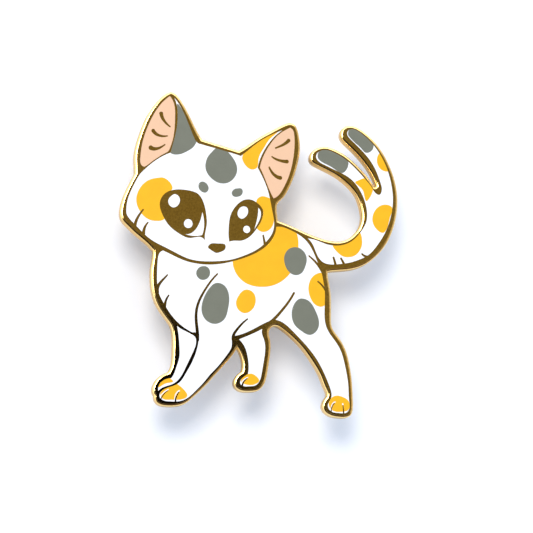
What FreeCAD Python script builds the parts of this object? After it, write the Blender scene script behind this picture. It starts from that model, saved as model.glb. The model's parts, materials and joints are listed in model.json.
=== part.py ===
"""A calico cat badge: a struck metal plate with enamel cells, printed spots, two posts and two butterfly clutches.

Millimetres. X runs across the badge, Y up it, and +Z out of its face. The badge lies face up on its clutches:
Z = 0 is the surface that their wings touch, and X = Y = 0 is the middle of the plate's outline.
"""
import FreeCAD, Part
import os
from FreeCAD import Placement, Rotation, Vector

doc = FreeCAD.newDocument("cat_pin")

# ---------------------------------------------------------------- driving dimensions
SIZES = [
    ("stand_height", 8.7, "surface to the back of the plate"),
    ("plate_thick", 1.6, "struck metal plate"),
    ("enamel_depth", 0.5, "depth of the recessed cells"),
    ("print_thick", 0.04, "printed ink on the polished enamel"),
    ("post_space_x", 4.8, "half the distance between the posts across the badge"),
    ("post_space_y", 5.1, "half the distance between the posts up the badge"),
    ("post_mid_x", -3.4, "middle of the two posts across the badge"),
    ("post_mid_y", 2.7, "middle of the two posts up the badge"),
    ("post_radius", 0.55, "post"),
    ("post_length", 8.0, "back of the plate to the point of the post"),
    ("post_point", 0.8, "tapered end of the post"),
    ("point_radius", 0.12, "blunt end of the point"),
    ("foot_radius", 1.6, "soldered foot of the post"),
    ("foot_thick", 0.3, "soldered foot of the post, sunk in the plate"),
    ("groove_start", 5.2, "back of the plate to the snap groove"),
    ("groove_tube", 0.3, "radius of the snap groove's hollow"),
    ("groove_ring", 0.68, "radius of the groove's centre line"),
    ("cup_radius", 5.75, "outside of the clutch cup"),
    ("cup_sheet", 0.4, "sheet that the cup is drawn from"),
    ("cup_gap", 2.1, "cloth space between the plate and the cup"),
    ("cup_depth", 1.8, "cup, without its rolled edge"),
    ("cup_edge", 0.5, "outer radius of the cup's drawn corner"),
    ("cup_roll", 0.3, "half the thickness of the rolled edge"),
    ("cup_hole", 0.75, "hole for the post in the cup"),
    ("clip_radius", 4.7, "clip base"),
    ("clip_sheet", 0.35, "spring sheet of the clip"),
    ("clip_lift", 0.05, "play between the cup and the clip base"),
    ("window_x", 4.4, "window in the clip base, across the jaws"),
    ("window_y", 3.6, "window in the clip base, along the jaws"),
    ("hinge_reach", 2.4, "post axis to a wing's hinge line"),
    ("hinge_drop", 4.0, "back of the plate to the hinge lines"),
    ("barrel_radius", 0.42, "rolled root of a wing"),
    ("barrel_length", 4.4, "rolled root of a wing"),
    ("trunnion_radius", 0.22, "pivot at each end of a wing's root"),
    ("pivot_play", 0.05, "pivot hole larger than the pivot by this"),
    ("ear_height", 0.5, "ear above the hinge line"),
    ("ear_width", 1.3, "ear across the hinge line"),
    ("ear_thick", 0.35, "ear"),
    ("jaw_width", 3.0, "jaw along the hinge"),
    ("jaw_play", 0.05, "jaw notch larger than the post by this"),
    ("wing_width", 5.0, "wing across"),
    ("waist_cut", 2.0, "depth of the cuts that narrow a wing between the ears"),
    ("waist_play", 0.35, "space between an ear and the shoulders of a wing"),
    ("slab_side", 60.0, "working slab, larger than the badge"),
]

sheet = doc.addObject("Spreadsheet::Sheet", "sizes")
for row, (alias, value, note) in enumerate(SIZES, start=1):
    sheet.set(f"A{row}", alias)
    sheet.set(f"B{row}", str(value))
    sheet.set(f"C{row}", note)
    sheet.setAlias(f"B{row}", alias)
doc.recompute()


def size(alias):
    """The value of one driving dimension."""
    return float(sheet.get(alias))


# ---------------------------------------------------------------- outlines, as (x, y) points
# An outline is a list of spans. A span is a smooth curve through its points, or a straight line when it has two,
# and the next span starts where it ends. The last span ends on the outline's first point.

PLATE = [
    [(-15.66, 10.0), (-15.7, 11.2), (-15.72, 12.1), (-15.55, 13.3), (-15.05, 15.0), (-14.2, 17.1), (-12.9, 19.05),
     (-11.7, 20.15), (-11.1, 20.38), (-10.55, 20.15), (-9.8, 19.3), (-8.8, 17.5), (-8.0, 15.8), (-7.2, 14.42)],
    [(-5.4, 13.9), (-3.8, 13.44), (-2.62, 13.08)],
    [(-1.7, 13.65), (-0.1, 14.78), (1.6, 15.75), (3.1, 16.55), (3.9, 16.77), (4.45, 16.6), (4.9, 15.8), (5.12, 14.6),
     (5.14, 13.2), (4.85, 11.6), (4.3, 9.8), (3.5, 8.05), (2.85, 7.15), (2.3, 6.6), (2.14, 5.9), (2.3, 4.33)],
    [(3.7, 3.82), (5.5, 3.02), (7.5, 2.25), (8.5, 1.98), (9.5, 1.85), (10.4, 1.92), (11.2, 2.24), (12.0, 2.9),
     (12.6, 3.8), (12.88, 4.9), (12.72, 6.3), (12.15, 7.8), (11.22, 8.93), (9.8, 10.07), (8.2, 10.92), (7.1, 11.45),
     (6.55, 11.85), (6.38, 12.45), (6.65, 13.15), (7.4, 13.68), (8.4, 13.85), (9.4, 13.58), (10.8, 12.85),
     (12.2, 11.7), (13.5, 10.3), (14.45, 9.0)],
    [(14.62, 8.8), (14.78, 8.95)],
    [(14.4, 10.0), (13.5, 11.5), (12.2, 13.05), (10.95, 14.25), (10.4, 14.9), (10.28, 15.5), (10.6, 16.2),
     (11.4, 16.58), (12.3, 16.42), (13.6, 15.6), (15.0, 14.2), (16.25, 12.2), (17.05, 10.2), (17.45, 8.2),
     (17.45, 6.1), (17.0, 3.9), (16.0, 1.65), (14.4, -0.2), (12.8, -1.25), (10.9, -1.75), (9.4, -1.88), (8.5, -2.0)],
    [(8.56, -2.8), (8.8, -4.2), (8.88, -5.8), (8.86, -7.4), (9.0, -9.0), (9.8, -10.2), (10.6, -11.6), (11.1, -13.4),
     (11.4, -15.6), (11.5, -17.6), (11.48, -19.1), (11.2, -19.9), (10.5, -20.22), (9.6, -20.2), (8.7, -20.03),
     (7.9, -19.5), (7.6, -18.8), (7.75, -18.15), (8.13, -17.62)],
    [(8.2, -17.3), (7.9, -16.4), (7.4, -15.1), (6.4, -13.3), (5.1, -11.5), (3.6, -10.0), (2.5, -9.14), (1.75, -8.85),
     (1.2, -9.15), (1.0, -9.8), (1.14, -10.5), (1.22, -11.5), (1.0, -13.4), (0.7, -15.1), (0.35, -16.15),
     (-0.3, -16.85), (-1.5, -17.08), (-2.7, -16.95), (-3.35, -16.4), (-3.42, -15.7), (-3.0, -14.98), (-2.45, -14.55)],
    [(-2.33, -13.7), (-2.5, -12.65), (-2.98, -11.65)],
    [(-3.7, -12.7), (-5.2, -14.4), (-6.95, -16.35), (-8.5, -17.8), (-9.6, -18.62), (-10.7, -18.92), (-12.0, -18.92),
     (-12.9, -18.65), (-13.28, -18.15), (-13.36, -17.6)],
    [(-13.56, -17.1), (-13.45, -16.3), (-12.95, -15.5), (-12.2, -14.98), (-11.62, -14.72)],
    [(-11.25, -14.0), (-11.05, -12.6), (-11.0, -11.0), (-11.08, -9.7), (-11.4, -8.68)],
    [(-12.2, -7.6), (-13.05, -6.25), (-13.55, -4.8), (-13.72, -3.2), (-13.7, -1.9), (-13.52, -0.8), (-13.42, 0.4)],
    [(-14.4, 1.43), (-15.6, 2.42), (-16.75, 3.52), (-17.3, 4.15), (-17.52, 4.9), (-17.45, 5.8), (-17.0, 7.3),
     (-16.35, 8.7), (-15.66, 10.0)],
]

HEAD = [
    [(-16.73, 5.0), (-16.73, 5.7), (-16.5, 6.9), (-15.97, 8.2), (-15.43, 9.25), (-15.0, 9.95)],
    [(-14.0, 10.93), (-13.0, 11.72), (-12.0, 12.33), (-11.2, 12.68)],
    [(-10.92, 13.7), (-10.55, 15.1), (-10.32, 16.5), (-10.28, 17.5), (-10.4, 18.75), (-10.68, 19.6)],
    [(-10.0, 18.65), (-9.15, 16.9), (-8.3, 14.75), (-7.92, 14.08), (-7.65, 13.88)],
    [(-5.5, 13.32), (-3.8, 12.86), (-2.36, 12.42)],
    [(-1.45, 13.15), (0.1, 14.38), (1.7, 15.27), (2.9, 15.78)],
    [(1.93, 15.0), (0.89, 13.7), (0.02, 12.0), (-0.26, 10.98)],
    [(0.41, 9.67), (0.95, 8.3), (1.25, 7.1), (1.53, 5.54), (1.76, 4.1), (1.61, 3.0), (0.9, 1.85), (-0.2, 0.83),
     (-2.2, -0.16), (-3.8, -0.66), (-5.6, -0.86), (-7.5, -0.87), (-9.1, -0.56), (-10.6, 0.13), (-12.1, 0.89),
     (-13.67, 1.73), (-14.97, 2.88), (-15.97, 3.9), (-16.5, 4.5), (-16.73, 5.0)],
]

LEFT_EAR = [
    [(-14.5, 10.84), (-14.84, 11.05), (-14.97, 12.1), (-14.75, 13.7), (-14.0, 16.0), (-12.9, 18.1), (-12.0, 19.2),
     (-11.25, 19.82)],
    [(-10.77, 19.0), (-10.61, 17.4), (-10.67, 15.9), (-10.9, 14.4), (-11.3, 13.2)],
    [(-11.5, 12.85), (-12.1, 12.48), (-12.9, 11.97), (-13.6, 11.47), (-14.2, 11.0), (-14.5, 10.84)],
]

RIGHT_EAR = [
    [(0.02, 11.03), (0.41, 12.3), (1.29, 13.9), (2.4, 15.2), (3.3, 15.82), (3.9, 16.13)],
    [(4.2, 15.9), (4.42, 15.1), (4.44, 14.2), (4.24, 12.2), (3.6, 9.8), (2.88, 8.3), (2.3, 7.5), (1.72, 7.15)],
    [(1.3, 7.98), (0.73, 9.4), (0.02, 11.03)],
]

BODY = [
    [(-12.2, 0.38), (-11.0, -0.18), (-9.5, -0.84), (-8.0, -1.19), (-6.4, -1.3), (-4.6, -1.12), (-3.0, -0.72),
     (-1.4, -0.16), (0.17, 0.67), (1.29, 1.71), (1.85, 2.7), (2.03, 3.55)],
    [(2.7, 3.56), (3.6, 3.26), (4.96, 2.55), (5.8, 1.85), (6.7, 0.4), (7.22, -0.88)],
    [(7.62, -1.75), (7.78, -2.6), (8.03, -4.1), (8.06, -5.5), (8.0, -7.0), (8.08, -8.4), (8.4, -9.35), (9.1, -10.4),
     (9.9, -11.65), (10.35, -13.0), (10.7, -14.7), (10.9, -16.2), (10.97, -18.0), (10.95, -19.2), (10.6, -19.6),
     (9.8, -19.65), (8.9, -19.53), (8.42, -19.15), (8.3, -18.6), (8.62, -18.0), (8.78, -17.5), (8.6, -16.5),
     (8.1, -15.2), (7.1, -13.2), (5.7, -11.3), (4.0, -9.5), (2.7, -8.4), (1.6, -8.05)],
    [(0.6, -8.45), (-1.0, -9.3), (-2.2, -9.85), (-3.25, -10.14)],
    [(-3.58, -10.2), (-3.67, -10.9), (-3.7, -11.5), (-4.28, -12.5), (-5.46, -14.0), (-6.45, -15.03), (-7.2, -15.95),
     (-8.22, -17.0), (-9.3, -17.95), (-10.2, -18.3), (-11.4, -18.34), (-12.2, -18.22), (-12.68, -17.8),
     (-12.66, -17.4), (-12.0, -16.78), (-11.0, -16.42), (-10.2, -15.97), (-9.5, -15.0), (-8.92, -14.0),
     (-8.06, -12.0), (-7.78, -10.6)],
    [(-8.1, -9.8), (-8.55, -9.78)],
    [(-9.5, -9.25), (-10.5, -8.42), (-11.4, -7.35), (-12.1, -6.2), (-12.7, -5.0), (-12.92, -3.8), (-12.94, -2.4),
     (-12.85, -0.8), (-12.6, 0.1), (-12.2, 0.38)],
]

FAR_FORELEG = [
    [(-10.48, -8.98), (-10.31, -10.0), (-10.19, -11.6), (-10.24, -13.0), (-10.56, -14.0), (-10.92, -15.0),
     (-11.25, -15.48)],
    [(-11.75, -15.55), (-12.3, -15.82), (-12.75, -16.35), (-12.84, -17.05)],
    [(-12.0, -16.5), (-10.95, -16.13), (-10.3, -15.6), (-9.38, -14.0), (-8.42, -12.0), (-8.12, -10.95),
     (-8.24, -10.35), (-8.75, -9.97), (-9.5, -9.6), (-10.48, -8.98)],
]

FAR_HIND_LEG = [
    [(-2.75, -10.58), (-1.6, -10.1), (-0.6, -9.65), (0.15, -9.25)],
    [(0.1, -9.8), (0.35, -10.55), (0.5, -11.4), (0.35, -13.0), (0.05, -14.7), (-0.25, -15.75), (-0.75, -16.28),
     (-1.5, -16.4), (-2.3, -16.36), (-2.66, -16.05), (-2.5, -15.5), (-2.1, -15.15), (-1.68, -14.88)],
    [(-1.59, -14.2), (-1.66, -13.0), (-2.0, -11.65), (-2.75, -10.58)],
]

TAIL = [
    [(6.0, 2.15), (7.2, 1.9), (8.4, 1.46), (9.6, 1.3), (10.7, 1.48), (11.8, 2.08), (12.8, 3.2), (13.45, 4.4),
     (13.55, 5.6), (13.2, 7.2), (12.5, 8.65), (11.3, 9.95), (9.8, 10.75), (8.2, 11.5), (7.4, 12.0), (7.14, 12.5),
     (7.5, 13.15), (8.3, 13.4), (9.4, 13.1), (10.8, 12.3), (12.2, 11.05), (13.3, 9.85), (14.2, 8.7), (14.75, 7.95),
     (15.15, 7.82), (15.42, 8.2), (15.3, 9.4), (14.7, 11.0), (13.7, 12.6), (12.5, 13.9), (11.5, 14.88),
     (11.14, 15.45), (11.3, 15.95), (11.9, 16.1), (13.0, 15.55), (14.3, 14.35), (15.4, 12.8), (16.2, 11.05),
     (16.7, 9.1), (16.87, 7.2), (16.6, 5.2), (15.9, 3.2), (14.85, 1.5), (13.6, 0.15), (12.4, -0.44), (11.2, -0.82),
     (10.0, -1.0), (8.9, -1.07), (8.0, -0.86), (7.4, -0.32), (6.8, 1.0), (6.0, 2.15)],
]

LEFT_EYE = [
    [(-6.93, 1.7), (-6.95, 2.4), (-6.72, 3.6), (-6.76, 5.0), (-7.1, 6.5), (-7.78, 7.55), (-9.1, 8.0), (-10.6, 8.05),
     (-12.0, 7.47), (-12.58, 6.3), (-12.3, 5.0), (-11.4, 3.5), (-10.1, 2.48), (-8.8, 2.0), (-7.5, 2.14),
     (-6.93, 1.7)],
]

RIGHT_EYE = [
    [(-3.9, 1.6), (-3.3, 1.74), (-2.5, 1.74), (-1.4, 2.22), (-0.4, 3.35), (0.3, 4.68), (0.38, 5.55), (-0.3, 6.5),
     (-1.1, 6.93), (-1.9, 6.92), (-3.0, 6.15), (-3.7, 5.0), (-3.97, 3.3), (-3.98, 2.2), (-3.9, 1.6)],
]

# Closed smooth shapes: one curve through the points and back to the first.
NOSE = [(-6.55, 1.0), (-6.2, 1.33), (-5.3, 1.36), (-4.4, 1.18), (-4.4, 0.75), (-5.0, 0.3), (-5.55, 0.18),
        (-6.15, 0.5)]

LEFT_GLINTS = [
    [(-10.54, 7.44), (-10.06, 6.85), (-10.25, 6.15), (-10.9, 5.8), (-11.42, 6.2), (-11.45, 6.85), (-11.05, 7.3)],
    [(-9.02, 4.36), (-8.55, 4.05), (-8.56, 3.5), (-9.02, 3.24), (-9.5, 3.52), (-9.49, 4.08)],
]
LEFT_CRESCENT = [
    [(-7.25, 5.26), (-7.06, 4.3), (-7.08, 3.2), (-7.3, 2.4)],
    [(-8.0, 2.27), (-8.7, 2.3), (-9.4, 2.46)],
    [(-8.4, 2.78), (-7.75, 3.65), (-7.42, 4.5), (-7.25, 5.26)],
]
RIGHT_GLINTS = [
    [(-2.1, 6.06), (-1.6, 5.85), (-1.52, 5.3), (-1.85, 4.75), (-2.35, 4.52), (-2.78, 4.85), (-2.8, 5.4),
     (-2.5, 5.9)],
    [(-1.7, 3.64), (-1.32, 3.4), (-1.32, 2.94), (-1.7, 2.72), (-2.08, 2.95), (-2.09, 3.4)],
]
RIGHT_SLIVER = [
    [(-0.74, 3.22), (-0.3, 3.94), (0.04, 4.75), (0.1, 5.3), (-0.22, 5.92)],
    [(-0.26, 5.2), (-0.42, 4.3), (-0.74, 3.22)],
]

# Raised lines that end in a cell: centre-line points, then the width at the first and at the last point.
HEAD_LINES = [
    ([(-15.7, 3.2), (-15.5, 4.1), (-15.1, 4.85), (-14.65, 5.45)], 0.44, 0.2),
    ([(-14.6, 2.5), (-14.45, 3.25), (-14.07, 3.85)], 0.44, 0.2),
    ([(0.62, 1.1), (0.5, 1.75), (0.37, 2.45)], 0.36, 0.22),
]
LEFT_EAR_LINES = [
    ([(-12.35, 17.6), (-12.15, 16.95), (-11.75, 16.4), (-11.25, 15.95)], 0.5, 0.18),
    ([(-13.35, 15.4), (-12.95, 14.98), (-12.3, 14.75), (-11.6, 14.78)], 0.5, 0.18),
    ([(-13.65, 13.25), (-13.2, 13.12), (-12.6, 13.25), (-11.9, 13.68)], 0.6, 0.16),
]
RIGHT_EAR_LINES = [
    ([(3.68, 14.5), (3.3, 14.15), (2.8, 13.85), (2.05, 13.52)], 0.48, 0.22),
    ([(3.44, 11.83), (2.97, 11.86), (2.17, 12.06), (1.57, 12.4)], 0.5, 0.2),
    ([(2.57, 9.75), (2.0, 9.98), (1.53, 10.45), (1.2, 11.05)], 0.52, 0.22),
]
BODY_LINES = [
    ([(-12.95, -4.8), (-12.84, -4.1), (-12.4, -3.45), (-11.66, -2.66)], 0.54, 0.2),
    ([(-12.0, -6.9), (-11.97, -6.3), (-11.8, -5.7), (-11.5, -5.2)], 0.42, 0.2),
    ([(-7.95, -10.7), (-7.96, -9.7), (-8.1, -8.3), (-8.08, -7.2), (-7.72, -5.85), (-7.0, -4.5), (-6.1, -3.2),
      (-5.42, -2.46)], 0.44, 0.22),
    ([(-3.5, -10.6), (-3.42, -10.0), (-3.0, -9.35), (-2.4, -8.65), (-1.7, -8.05)], 0.42, 0.2),
    ([(0.6, -8.75), (1.6, -8.05), (2.4, -7.2), (3.3, -6.1), (4.18, -4.72)], 0.42, 0.28),
    ([(7.9, -2.2), (7.4, -1.35), (6.8, -0.65), (6.12, -0.04)], 0.4, 0.2),
    ([(8.3, -4.6), (7.95, -4.0), (7.6, -3.58), (7.22, -3.25)], 0.28, 0.2),
    ([(-12.55, -18.15), (-12.35, -17.72), (-12.05, -17.33), (-11.65, -17.02)], 0.13, 0.11),
    ([(-10.72, -18.5), (-10.68, -18.0), (-10.52, -17.55), (-10.28, -17.18)], 0.22, 0.12),
    ([(8.72, -19.7), (8.76, -19.1), (8.93, -18.68), (9.14, -18.42)], 0.16, 0.12),
    ([(10.28, -19.8), (10.25, -19.2), (10.2, -18.68)], 0.2, 0.12),
]
FAR_HIND_LINES = [
    ([(-2.42, -16.5), (-2.3, -16.0), (-2.05, -15.65), (-1.78, -15.44)], 0.24, 0.12),
]
TAIL_LINES = [
    ([(9.48, -1.2), (9.34, -0.6), (9.22, -0.2)], 0.34, 0.26),
    ([(10.6, -1.1), (10.36, -0.65), (10.17, -0.3)], 0.34, 0.26),
    ([(13.75, -0.02), (13.3, 0.0), (13.05, 0.12), (12.85, 0.3)], 0.34, 0.24),
]

# Printed spots: name, cell, closed smooth outline, and the unprinted slips beside raised lines.
GREY_SPOTS = [
    ("left_ear_back_grey", "head", [(-10.38, 18.66), (-10.45, 17.4), (-10.65, 15.8), (-11.1, 13.9), (-11.2, 12.66),
                                    (-10.3, 12.46), (-9.2, 12.85), (-8.3, 13.5), (-7.9, 14.3), (-9.0, 16.9)]),
    ("forehead_grey", "head", [(-5.8, 13.1), (-4.7, 13.5), (-3.85, 12.75), (-3.1, 11.7), (-2.85, 10.7),
                               (-3.2, 9.7), (-4.1, 9.0), (-5.2, 9.0), (-6.2, 9.65), (-6.82, 10.8), (-6.6, 12.1)]),
    ("left_brow_grey", "head", [(-7.17, 9.1), (-6.62, 8.75), (-6.46, 8.2), (-6.8, 7.75), (-7.4, 7.9), (-7.72, 8.5),
                                (-7.55, 8.98)]),
    ("right_brow_grey", "head", [(-2.7, 8.34), (-2.2, 8.12), (-2.28, 7.58), (-2.8, 7.28), (-3.35, 7.34),
                                 (-3.55, 7.75), (-3.25, 8.2)]),
    ("chest_grey", "body", [(-7.1, -1.5), (-6.45, -1.85), (-6.36, -2.5), (-6.75, -3.08), (-7.4, -3.2),
                            (-7.95, -2.8), (-8.02, -2.15), (-7.65, -1.65)]),
    ("shoulder_grey", "body", [(-5.35, -3.58), (-4.5, -3.95), (-3.98, -5.2), (-4.12, -6.8), (-4.6, -8.1),
                               (-5.75, -8.68), (-6.9, -8.2), (-7.42, -7.0), (-7.1, -5.4), (-6.35, -4.15)]),
    ("back_grey", "body", [(4.4, 1.03), (5.25, 0.72), (5.8, -0.2), (5.62, -1.4), (5.1, -2.25), (4.4, -2.47),
                           (3.6, -2.1), (3.05, -1.1), (3.05, 0.05), (3.6, 0.8)]),
    ("thigh_grey", "body", [(5.2, -5.4), (6.1, -5.75), (6.9, -7.0), (7.3, -8.4), (7.0, -9.4), (6.15, -9.93),
                            (5.1, -9.48), (4.2, -8.65), (3.87, -7.5), (4.1, -6.3)]),
    ("left_tail_tip_grey", "tail", [(7.35, 12.5), (7.45, 13.05), (8.3, 13.6), (9.5, 13.3), (10.6, 12.6),
                                    (11.2, 12.0), (11.1, 11.15), (10.5, 10.52), (9.3, 11.12), (7.85, 11.88)]),
    ("right_tail_tip_grey", "tail", [(11.25, 15.6), (11.6, 16.2), (12.5, 16.0), (13.5, 15.3), (14.45, 14.3),
                                     (14.3, 13.5), (13.5, 13.15), (12.9, 13.7), (12.0, 14.5), (11.45, 15.1)]),
]
ORANGE_SPOTS = [
    ("left_cheek_orange", "head", [(-12.45, 9.53), (-11.4, 9.05), (-11.0, 8.16), (-11.9, 7.4), (-12.4, 6.4),
                                   (-12.2, 5.2), (-12.0, 4.38), (-13.06, 4.07), (-14.2, 4.38), (-15.1, 5.35),
                                   (-15.5, 6.6), (-15.1, 8.05), (-13.9, 9.2)]),
    ("right_cheek_orange", "head", [(0.3, 7.38), (0.85, 7.3), (1.4, 7.0), (1.75, 5.0), (1.6, 3.8), (0.95, 3.05),
                                    (0.1, 2.94), (-0.45, 3.45), (-0.05, 4.3), (0.15, 5.3), (-0.3, 6.2),
                                    (-0.45, 6.8)]),
    ("right_ear_orange", "head", [(-2.2, 12.2), (-1.75, 11.2), (-0.9, 10.74), (-0.4, 10.95), (-0.15, 12.1),
                                  (0.57, 13.55), (1.5, 14.85), (2.3, 15.65), (1.6, 15.6), (0.1, 14.7),
                                  (-1.5, 13.4)]),
    ("back_orange", "body", [(-3.49, -0.7), (-3.1, -2.3), (-2.0, -3.47), (0.0, -4.0), (2.0, -3.62), (3.7, -2.25),
                             (4.5, -0.6), (4.8, 1.5), (4.4, 3.1), (2.6, 3.9), (0.9, 2.1), (-1.2, 0.4)]),
    ("belly_orange", "body", [(-1.6, -4.38), (-0.8, -4.95), (-0.66, -5.9), (-1.2, -6.95), (-2.0, -7.3),
                              (-2.85, -6.85), (-3.1, -6.0), (-2.75, -5.1)]),
    ("rump_orange", "body", [(7.45, -2.15), (6.55, -2.65), (6.02, -3.9), (6.25, -5.3), (7.0, -6.25), (7.8, -6.35),
                             (8.4, -5.6), (8.5, -4.0), (8.1, -2.6)]),
    ("far_forepaw_orange", "far_foreleg", [(-11.3, -15.55), (-11.03, -15.9), (-11.75, -16.08), (-12.45, -16.42),
                                           (-12.85, -16.6), (-12.7, -16.0), (-12.1, -15.45)]),
    ("near_forepaw_orange", "body", [(-10.5, -16.2), (-9.75, -16.8), (-9.28, -17.7), (-10.0, -18.08),
                                     (-11.3, -18.12), (-12.3, -18.0), (-12.6, -17.5), (-11.8, -16.6)]),
    ("far_hind_paw_orange", "far_hind_leg", [(-1.3, -14.83), (-0.65, -15.15), (-0.3, -15.72), (-0.9, -16.16),
                                             (-2.0, -16.16), (-2.55, -15.85), (-2.1, -15.1)]),
    ("near_hind_paw_orange", "body", [(9.5, -17.48), (10.4, -17.74), (10.93, -18.2), (10.85, -19.25),
                                      (10.2, -19.46), (9.0, -19.38), (8.5, -18.9), (8.55, -18.0)]),
    ("tail_root_orange", "tail", [(9.3, 1.45), (10.4, 1.6), (11.4, 2.0), (12.1, 2.6), (12.5, 3.0), (12.87, 1.9),
                                  (12.6, 0.8), (11.9, 0.08), (11.0, -0.13), (10.0, 0.22)]),
    ("tail_side_orange", "tail", [(16.0, 6.58), (14.9, 6.2), (14.22, 4.9), (14.6, 3.6), (15.6, 3.03), (16.1, 3.7),
                                  (16.5, 5.1), (16.72, 6.25)]),
    ("tail_fork_orange", "tail", [(12.15, 9.45), (12.8, 9.75), (13.6, 9.9), (14.35, 9.0), (14.2, 8.0), (13.85, 7.35),
                                  (13.5, 7.0), (13.2, 7.85), (12.7, 8.75)]),
    ("right_tail_orange", "tail", [(15.3, 13.2), (14.92, 12.5), (15.1, 11.4), (15.9, 10.82), (16.5, 10.9),
                                   (16.3, 11.8), (15.8, 12.7)]),
]

# Unprinted slips: the ink sits a little down and to the right of the raised toe lines.
SLIPS = {
    "near_forepaw_orange": [([(-12.75, -17.95), (-12.4, -17.45), (-12.05, -17.13), (-11.6, -16.86)], 0.14, 0.14),
                            ([(-10.82, -18.1), (-10.75, -17.6), (-10.55, -17.25), (-10.25, -17.02)], 0.1, 0.2)],
    "far_hind_paw_orange": [([(-2.6, -16.2), (-2.4, -15.8), (-2.1, -15.5), (-1.72, -15.3)], 0.16, 0.14)],
    "near_hind_paw_orange": [([(8.62, -19.3), (8.76, -18.72), (8.98, -18.38), (9.2, -18.28)], 0.06, 0.18),
                             ([(10.2, -18.65), (10.17, -18.5)], 0.2, 0.2)],
}


# ---------------------------------------------------------------- drawing and solid helpers
def curve(points, closed=False):
    """A line through two points, or a smooth curve through more."""
    through = [Vector(x, y, 0) for x, y in points]
    if len(through) == 2:
        return Part.LineSegment(*through)
    smooth = Part.BSplineCurve()
    smooth.interpolate(Points=through, PeriodicFlag=closed)
    return smooth


def outline(spans):
    """The closed outline of a list of spans, each starting where the one before ended."""
    curves = [curve(spans[0])]
    for before, span in zip(spans, spans[1:]):
        curves.append(curve([before[-1]] + span))
    return curves


def drawn_line(path, first_width, last_width):
    """The closed outline of a raised line with round ends, whose width runs evenly from first to last."""
    points = [Vector(x, y, 0) for x, y in path]
    last = len(points) - 1
    left = []
    right = []
    for i, point in enumerate(points):
        along = (points[min(i + 1, last)] - points[max(i - 1, 0)]).normalize()
        half = (first_width + (last_width - first_width) * i / last) / 2
        across = Vector(-along.y, along.x, 0) * half
        left.append(point + across)
        right.append(point - across)
    heel = points[0] - (points[1] - points[0]).normalize() * (first_width / 2)
    toe = points[last] + (points[last] - points[last - 1]).normalize() * (last_width / 2)
    return [
        curve([(p.x, p.y) for p in left]),
        Part.Arc(left[last], toe, right[last]),
        curve([(p.x, p.y) for p in reversed(right)]),
        Part.Arc(right[0], heel, left[0]),
    ]


def drawing(name, curves, height):
    """A sketch parallel to the badge's face, at a height given as an expression of the sheet."""
    sketch = doc.addObject("Sketcher::SketchObject", name)
    sketch.addGeometry(curves, False)
    sketch.setExpression("Placement.Base.z", height)
    return sketch


def extrusion(name, sketch, length, direction=1):
    """A solid drawn out of a sketch along its normal, by an expression of the sheet."""
    solid = doc.addObject("Part::Extrusion", name)
    solid.Base = sketch
    solid.DirMode = "Custom"
    solid.Dir = Vector(0, 0, direction)
    solid.setExpression("LengthFwd", length)
    solid.Solid = True
    solid.FaceMakerClass = "Part::FaceMakerBullseye"
    return solid


def fused(name, shapes):
    """Several objects joined."""
    result = doc.addObject("Part::MultiFuse", name)
    result.Shapes = shapes
    return result


def boolean(kind, name, base, tool):
    """A Part::Cut or Part::Common of two objects."""
    result = doc.addObject(kind, name)
    result.Base = base
    result.Tool = tool
    return result


def cut(name, base, tool):
    """The base without the tool."""
    return boolean("Part::Cut", name, base, tool)


def common(name, base, tool):
    """What the base and the tool share."""
    return boolean("Part::Common", name, base, tool)


def cylinder(name, radius, height, bottom):
    """A cylinder about the post's axis, each size an expression of the sheet."""
    solid = doc.addObject("Part::Cylinder", name)
    solid.setExpression("Radius", radius)
    solid.setExpression("Height", height)
    solid.setExpression("Placement.Base.z", bottom)
    return solid


def box(name, across, along, tall, x, y, z):
    """A box centred on x and y and standing on z, each size an expression of the sheet."""
    solid = doc.addObject("Part::Box", name)
    solid.setExpression("Length", across)
    solid.setExpression("Width", along)
    solid.setExpression("Height", tall)
    solid.setExpression("Placement.Base.x", f"{x} - ({across}) / 2")
    solid.setExpression("Placement.Base.y", f"{y} - ({along}) / 2")
    solid.setExpression("Placement.Base.z", z)
    return solid


nodes = {}


def node(name, result):
    """Keep an object as the sub-part of that name."""
    result.Label = name
    nodes[name] = result
    return result


BACK = "sizes.stand_height"
FACE = "(sizes.stand_height + sizes.plate_thick)"
CELL_FLOOR = "(sizes.stand_height + sizes.plate_thick - sizes.enamel_depth)"

# ---------------------------------------------------------------- enamel cells and printed spots
CELLS = {
    "head": (outline(HEAD) + outline(LEFT_EYE) + outline(RIGHT_EYE) + [curve(NOSE, True)], HEAD_LINES),
    "left_ear": (outline(LEFT_EAR), LEFT_EAR_LINES),
    "right_ear": (outline(RIGHT_EAR), RIGHT_EAR_LINES),
    "left_eye": ([curve(glint, True) for glint in LEFT_GLINTS] + outline(LEFT_CRESCENT), []),
    "right_eye": ([curve(glint, True) for glint in RIGHT_GLINTS] + outline(RIGHT_SLIVER), []),
    "body": (outline(BODY), BODY_LINES),
    "far_foreleg": (outline(FAR_FORELEG), []),
    "far_hind_leg": (outline(FAR_HIND_LEG), FAR_HIND_LINES),
    "tail": (outline(TAIL), TAIL_LINES),
}
ENAMEL_NAMES = {
    "head": "head_enamel_white",
    "left_ear": "left_ear_enamel_pink",
    "right_ear": "right_ear_enamel_pink",
    "left_eye": "left_eye_glints_white",
    "right_eye": "right_eye_glints_white",
    "body": "body_enamel_white",
    "far_foreleg": "far_foreleg_enamel_white",
    "far_hind_leg": "far_hind_leg_enamel_white",
    "tail": "tail_enamel_white",
}


def raised_lines(name, lines, bottom, height):
    """The solids of a cell's raised lines, joined where there are several."""
    solids = []
    for number, line in enumerate(lines):
        sketch = drawing(f"{name}_drawing_{number}", drawn_line(*line), bottom)
        solids.append(extrusion(f"{name}_{number}", sketch, height))
    if len(solids) == 1:
        return solids[0]
    return fused(f"{name}_joined", solids)


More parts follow.
